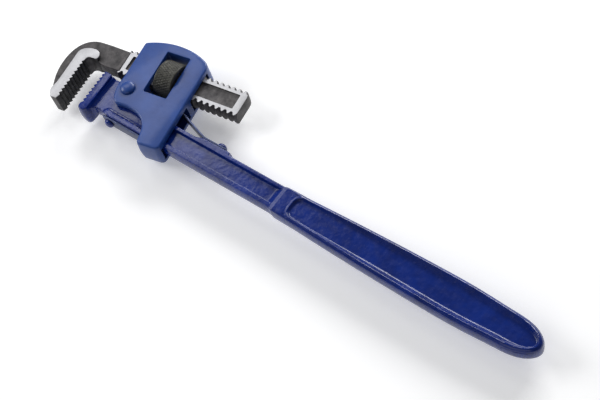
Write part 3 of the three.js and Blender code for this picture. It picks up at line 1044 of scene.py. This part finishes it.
stripStand = springSize["thickness"] + 2 * springSize["clearance"]
rearSpot = Vector((handleSize["rearRivetX"], seatTop + stripStand, 0))
frontSpot = Vector((handleSize["frontRivetX"], -handleSize["barHalf"] - stripStand, 0))
stripSpots = [(handleFrame @ rearSpot, (0, 1, 0)), (handleFrame @ frontSpot, (0, -1, 0))]
pivotPoint = Vector(joints["housing_rock"]["pos_m"])
headGap = 0.3  # between the housing's cheek and the underside of the pivot's head
cheek = (housingSize["halfZ"] + headGap) * millimetre
pivotSpots = [(pivotPoint + Vector((0, 0, side * cheek)), (0, 0, side)) for side in (1, -1)]
makeRivets("springRivets", rivetSize["strip"], stripSpots, glossPaint, "handle",
           ["rear_spring_rivet", "front_spring_rivet"])
makeRivets("pivotRivet", rivetSize["pivot"], pivotSpots, satinPaint, "housing", ["pivot_rivet"])
print("rivets made")


# Camera, floor and light.

# degrees about the handle's origin, then millimetres along the camera's own axes
cameraPlace = {
    "azimuth": -33.04, "elevation": 57.2, "roll": -22.95,
    "right": 196.17, "up": -96.7, "away": 1627.02, "lens": 90,
}


def makeCamera():
    c = cameraPlace
    azimuth, elevation, roll = (radians(c[k]) for k in ("azimuth", "elevation", "roll"))
    back = Vector((cos(elevation) * cos(azimuth), cos(elevation) * sin(azimuth), sin(elevation)))
    level = Vector((0, 0, 1)).cross(back).normalized()
    lift = back.cross(level)
    right = cos(roll) * level + sin(roll) * lift
    up = cos(roll) * lift - sin(roll) * level
    data = bpy.data.cameras.new("camera")
    data.lens = c["lens"]
    data.sensor_width = 36
    camera = newObject("camera", data)
    turn = Matrix((right, up, back)).transposed().to_4x4()
    eye = handleOrigin + (right * c["right"] + up * c["up"] + back * c["away"]) * millimetre
    camera.matrix_world = Matrix.Translation(eye) @ turn
    bpy.context.scene.camera = camera
    return eye


def areaLight(name, spot, target, size, power):
    data = bpy.data.lights.new(name, "AREA")
    data.shape = "RECTANGLE"
    data.size, data.size_y = size
    data.energy = power
    lamp = newObject(name, data)
    lamp.location = spot
    lamp.rotation_mode = "QUATERNION"
    lamp.rotation_quaternion = (Vector(spot) - Vector(target)).to_track_quat("Z", "Y")


def makeFloor():
    material, tree, shader, here = startMaterial("paleFloor")
    cloud = noise(tree, here, scale=3, detail=2)
    tone = ramp(tree, cloud, [(0.3, (0.86, 0.86, 0.865)), (0.7, (0.89, 0.89, 0.89))])
    link(tree, tone, shader.inputs["Base Color"])
    shader.inputs["Roughness"].default_value = 0.9
    shader.inputs["Emission Color"].default_value = (1, 1, 1, 1)
    shader.inputs["Emission Strength"].default_value = 0.3
    shader.inputs["Specular IOR Level"].default_value = 0.1
    reach = 6000
    sheet = [(x, y, 0) for x, y in rectangle(-reach, reach, -reach, reach)]
    floor = meshObject("floor", sheet, [(0, 1, 2, 3)], Matrix.Scale(millimetre, 4), material)


def makeLight(eye):
    # a softbox that the head's flat faces mirror towards the camera, then three larger lights
    head = housingFrame @ Vector((20, 35, 15))
    look = (head - eye).normalized()
    mirror = Vector((look.x, look.y, -look.z))
    areaLight("headSoftbox", head + mirror * 1.5, head, (0.5, 0.42), 2.6)
    areaLight("backKey", (-0.7, 2.5, 1.5), (0, 0, 0), (2.6, 1.0), 85)
    areaLight("leftKey", (-2.6, -0.9, 1.9), (0, 0, 0), (1.8, 1.4), 55)
    areaLight("frontFill", (0.6, -2.4, 1.6), (0, 0, 0), (2.2, 1.2), 9)
    world = bpy.data.worlds.new("studio")
    world.use_nodes = True
    world.node_tree.nodes["Background"].inputs["Color"].default_value = (0.9, 0.93, 1, 1)
    world.node_tree.nodes["Background"].inputs["Strength"].default_value = 0.12
    bpy.context.scene.world = world
    bpy.context.scene.view_settings.view_transform = "Standard"


makeFloor()
makeLight(makeCamera())
print("camera and light made")
